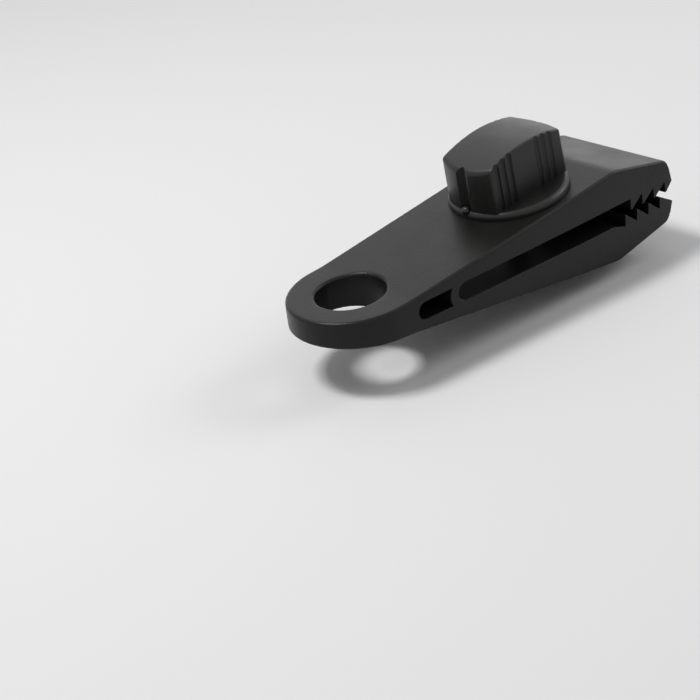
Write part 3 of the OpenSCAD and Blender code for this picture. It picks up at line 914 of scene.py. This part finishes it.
class TARPCLIP_OT_knob(Operator):
    """Build the thumb knob: a flange and a crowned grip with grooved sides"""

    bl_idname = "tarp_clip.knob"
    bl_label = "Thumb knob"

    def execute(self, context):
        settings = context.scene.tarp_clip
        s, screw = settings.knob, settings.screw
        turn = grip_outline(s)
        ray = np.stack([np.cos(turn), np.sin(turn)], 1)
        cos, sin = quarter()
        top_of_flange = s.foot_gap + s.flange_t
        rows = []

        def ring(radius, height):
            rows.append(stack(radius * ray[:, 0], radius * ray[:, 1], height))

        # Room for the bolt's head and shank, from inside to the underside
        room = (screw.head_af / 2 + screw.bolt_gap) / math.cos(math.pi / 6)
        neck = screw.bolt_d / 2 + screw.bolt_gap
        head_top = screw.head_lift + screw.head_h + screw.bolt_gap
        head_bottom = screw.head_lift - screw.bolt_gap
        for radius, height in ((0, head_top), (room, head_top), (room, head_bottom), (neck, head_bottom)):
            ring(radius, height)
        ring(neck, s.foot_gap)
        ring(s.flange_r, s.foot_gap)
        # Flange's rounded rim and top, hidden where the grip's end stands on it
        foot = grip_ring(s, turn, s.grip_lean, 0)
        foot_reach = np.hypot(*foot.T)
        core = s.flange_r - s.flange_round
        for radius in core + s.flange_round * cos:
            reach = np.maximum(radius, foot_reach)
            rise = np.sqrt(np.maximum(s.flange_round**2 - np.maximum(reach - core, 0) ** 2, 0))
            ring(reach, top_of_flange - s.flange_round + rise)
        base = rows[-1][:, 2]

        def crown(points):
            drop = s.crown_r - np.sqrt(s.crown_r**2 - points[:, 0] ** 2)
            return s.foot_gap + s.knob_h - drop

        # Wall, rounded rim and crowned top
        rows.append(stack(foot[:, 0], foot[:, 1], base))
        rim = rim_rounding(s, turn)
        for share in WALL_SHARES:
            points = grip_ring(s, turn, s.grip_lean * (1 - share), 0)
            edge = crown(points) - rim
            rows.append(stack(points[:, 0], points[:, 1], base + (edge - base) * share))
        for c, h in zip(cos[1:], sin[1:]):
            points = grip_ring(s, turn, 0, rim * (1 - c))
            rows.append(stack(points[:, 0], points[:, 1], crown(points) - rim * (1 - h)))
        for share in TOP_SHARES:
            inner = points * share
            rows.append(stack(inner[:, 0], inner[:, 1], crown(inner)))
        piece = link_mesh("knob_grip", on_screw([np.stack(rows)]))
        for side in (-1, 1):
            centre = np.array([side * (s.flange_r - s.pip_inset), 0, top_of_flange - s.pip_sink])
            pip = link_mesh("pip", on_screw([ball(centre, s.pip_r)]))
            combine(piece, pip, "UNION")
        dress(piece, knob_abs(settings.finish), ["thumb_knob"])
        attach(piece, "knob")
        return {"FINISHED"}


class TARPCLIP_OT_bolt(Operator):
    """Build the bolt: a threaded shank under a hexagon head"""

    bl_idname = "tarp_clip.bolt"
    bl_label = "Bolt"

    def execute(self, context):
        settings = context.scene.tarp_clip
        s = settings.screw
        turn = np.linspace(0, 2 * np.pi, BOLT_POINTS + 1)
        end = s.head_lift - s.bolt_l
        height = np.linspace(end, s.head_lift, THREAD_ROWS * round(s.bolt_l / s.thread_pitch))[:, None]
        # Thread: the radius falls and rises as a triangle wave of the height less the helix's climb
        phase = (height / s.thread_pitch - turn / (2 * np.pi)) % 1
        crest = s.bolt_d / 2
        fall = np.clip(THREAD_FLANK * np.abs(2 * phase - 1) - THREAD_CREST, 0, 1)
        radius = np.minimum(crest - s.thread_depth * fall, crest - s.bolt_bevel + (height - end))
        radius[:, -1] = radius[:, 0]
        shank = stack(radius * np.cos(turn), radius * np.sin(turn), height)
        tip = np.stack([shank[0] * (0, 0, 1), shank[0]])
        low, high = s.head_lift, s.head_lift + s.head_h
        corner = hexagon_reach(s.head_af, turn)
        rows = [shank[-1]]
        for reach, level in ((corner, low), (corner, high), (0 * corner, high)):
            rows.append(stack(reach * np.cos(turn), reach * np.sin(turn), level))
        piece = link_mesh("clip_bolt", on_screw([tip, shank, np.stack(rows)]))
        dress(piece, zinc(settings.finish), ["clamp_bolt"])
        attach(piece, "knob")
        return {"FINISHED"}


class TARPCLIP_OT_nut(Operator):
    """Build the hexagon nut with its bevelled corners"""

    bl_idname = "tarp_clip.nut"
    bl_label = "Nut"

    def execute(self, context):
        settings = context.scene.tarp_clip
        s = settings.screw
        low, high = nut_seat(s)
        turn = np.linspace(0, 2 * np.pi, NUT_POINTS + 1)
        reach = hexagon_reach(s.nut_af, turn)
        face = s.nut_af / 2 * NUT_FACE_SHARE
        bevel = (reach - face) * math.tan(NUT_BEVEL)
        bore = s.bolt_d / 2 + s.bolt_gap
        flare = s.bolt_gap * NUT_MOUTH
        rows = []
        for radius, level in (
            (bore, low + flare),
            (bore + flare, low),
            (face, low),
            (reach, low + bevel),
            (reach, high - bevel),
            (face, high),
            (bore + flare, high),
            (bore, high - flare),
            (bore, low + flare),
        ):
            rows.append(stack(radius * np.cos(turn), radius * np.sin(turn), level))
        piece = link_mesh("clip_nut", on_screw([np.stack(rows)]))
        dress(piece, zinc(settings.finish), ["clamp_nut"])
        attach(piece, "nut")
        return {"FINISHED"}


def area_lamp(name, place, size, power):
    """Square lamp at a place measured from the part's middle, turned to face it."""
    lamp = bpy.data.lights.new(name, "AREA")
    lamp.energy = power
    lamp.size = size
    holder = bpy.data.objects.new(name, lamp)
    holder.location = (cad_box[0] + cad_box[1]) / 2 + Vector(place)
    holder.rotation_mode = "QUATERNION"
    holder.rotation_quaternion = (-Vector(place)).to_track_quat("-Z", "Y")
    bpy.context.scene.collection.objects.link(holder)


def seen_rays(tree):
    """Output that is 1 for what is seen, directly, in gloss or through glass, and 0 for what only lights."""
    rays = add_node(tree, "ShaderNodeLightPath", {}).outputs
    seen = rays["Is Camera Ray"]
    for name in ("Is Glossy Ray", "Is Transmission Ray"):
        either = add_node(tree, "ShaderNodeMath", {"operation": "MAXIMUM"}, [(0, seen), (1, rays[name])])
        seen = either.outputs[0]
    return seen


def paper(finish, studio):
    """Matt paper of the floor, which keeps the part's shadow and fades far off into the pale surround."""
    material = bpy.data.materials.new("matt_paper")
    material.use_nodes = True
    tree = material.node_tree
    shader = tree.nodes["Principled BSDF"]
    shader.inputs["Base Color"].default_value = finish.floor
    shader.inputs["Roughness"].default_value = PAPER_ROUGHNESS
    place = add_node(tree, "ShaderNodeTexCoord", {}).outputs["Object"]
    away = add_node(tree, "ShaderNodeVectorMath", {"operation": "DISTANCE"}, [(0, place)])
    away.inputs[1].default_value = (cad_box[0] + cad_box[1]) / 2
    far = add_node(
        tree,
        "ShaderNodeMapRange",
        {"interpolation_type": "SMOOTHSTEP", "From Min": studio.fade_start, "From Max": studio.fade_end},
        [("Value", away.outputs["Value"])],
    )
    faded = add_node(
        tree,
        "ShaderNodeMath",
        {"operation": "MULTIPLY"},
        [(0, far.outputs["Result"]), (1, seen_rays(tree))],
    )
    pale = add_node(tree, "ShaderNodeEmission", {"Strength": studio.surround})
    mix = add_node(
        tree,
        "ShaderNodeMixShader",
        {},
        [("Fac", faded.outputs[0]), (1, shader.outputs["BSDF"]), (2, pale.outputs["Emission"])],
    )
    tree.links.new(mix.outputs["Shader"], tree.nodes["Material Output"].inputs["Surface"])
    return material


class TARPCLIP_OT_stage(Operator):
    """Build the floor, the light and the camera"""

    bl_idname = "tarp_clip.stage"
    bl_label = "Stage"

    def execute(self, context):
        settings = context.scene.tarp_clip
        s, scene = settings.studio, context.scene
        sides = np.array([-FLOOR_REACH, FLOOR_REACH])
        floor = link_mesh("floor", [stack(sides[:, None], sides, cad_box[0].z)])
        if floor.data.polygons[0].normal.z < 0:
            floor.data.flip_normals()
        floor.data.materials.append(paper(settings.finish, s))
        floor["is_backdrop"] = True

        # The surround that is seen, directly or in gloss, is pale, while the light that it gives stays low
        world = bpy.data.worlds.new("studio")
        world.use_nodes = True
        tree = world.node_tree
        strength = add_node(
            tree,
            "ShaderNodeMapRange",
            {"To Min": s.sky, "To Max": s.surround},
            [("Value", seen_rays(tree))],
        )
        backdrop = tree.nodes["Background"]
        backdrop.inputs["Color"].default_value = (1, 1, 1, 1)
        tree.links.new(strength.outputs["Result"], backdrop.inputs["Strength"])
        scene.world = world

        area_lamp("soft_box", s.key_place, s.key_size, s.key_power)
        area_lamp("panel", s.panel_place, s.panel_size, s.panel_power)
        area_lamp("fill_box", s.fill_place, s.fill_size, s.fill_power)

        lens = bpy.data.cameras.new("camera")
        lens.lens = s.lens
        lens.clip_start = NEAR_CLIP
        camera = bpy.data.objects.new("camera", lens)
        a, e = s.azimuth, s.elevation
        back = Vector((math.sin(a) * math.cos(e), -math.cos(a) * math.cos(e), math.sin(e)))
        right = (-back).cross(Vector((0, 0, 1))).normalized()
        up = right.cross(-back)
        c, t = math.cos(s.roll), math.sin(s.roll)
        axes = Matrix((c * right - t * up, t * right + c * up, back)).transposed()
        camera.matrix_world = Matrix.Translation(s.camera_place) @ axes.to_4x4()
        scene.collection.objects.link(camera)
        scene.camera = camera
        scene.view_settings.view_transform = "Standard"
        return {"FINISHED"}


class TARPCLIP_PT_panel(Panel):
    """Sidebar panel that lists the clip's pieces and sizes"""

    bl_idname = "TARPCLIP_PT_panel"
    bl_label = "Tarp clip"
    bl_space_type = "VIEW_3D"
    bl_region_type = "UI"
    bl_category = "Tarp clip"

    def draw(self, context):
        column = self.layout.column(align=True)
        for operator in OPERATORS:
            column.operator(operator.bl_idname)
        settings = context.scene.tarp_clip
        for group in (settings.clip, settings.knob, settings.screw, settings.finish, settings.studio):
            box = self.layout.box()
            for name in group.__annotations__:
                box.prop(group, name)


OPERATORS = (
    TARPCLIP_OT_stage,
    TARPCLIP_OT_upper,
    TARPCLIP_OT_lower,
    TARPCLIP_OT_web,
    TARPCLIP_OT_knob,
    TARPCLIP_OT_bolt,
    TARPCLIP_OT_nut,
)
CLASSES = (
    ClipSizes,
    KnobSizes,
    ScrewSizes,
    FinishColours,
    StudioSettings,
    TarpClip,
    *OPERATORS,
    TARPCLIP_PT_panel,
)


def register():
    for cls in CLASSES:
        bpy.utils.register_class(cls)
    bpy.types.Scene.tarp_clip = PointerProperty(type=TarpClip)


def unregister():
    del bpy.types.Scene.tarp_clip
    for cls in reversed(CLASSES):
        bpy.utils.unregister_class(cls)


def main():
    register()
    for operator in OPERATORS:
        getattr(bpy.ops.tarp_clip, operator.bl_idname.split(".")[1])()
    boxes = {"cad": cad_box, "visual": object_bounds()}
    {name: [list(corner) for corner in box] for name, box in boxes.items()}


if __name__ == "__main__":
    main()
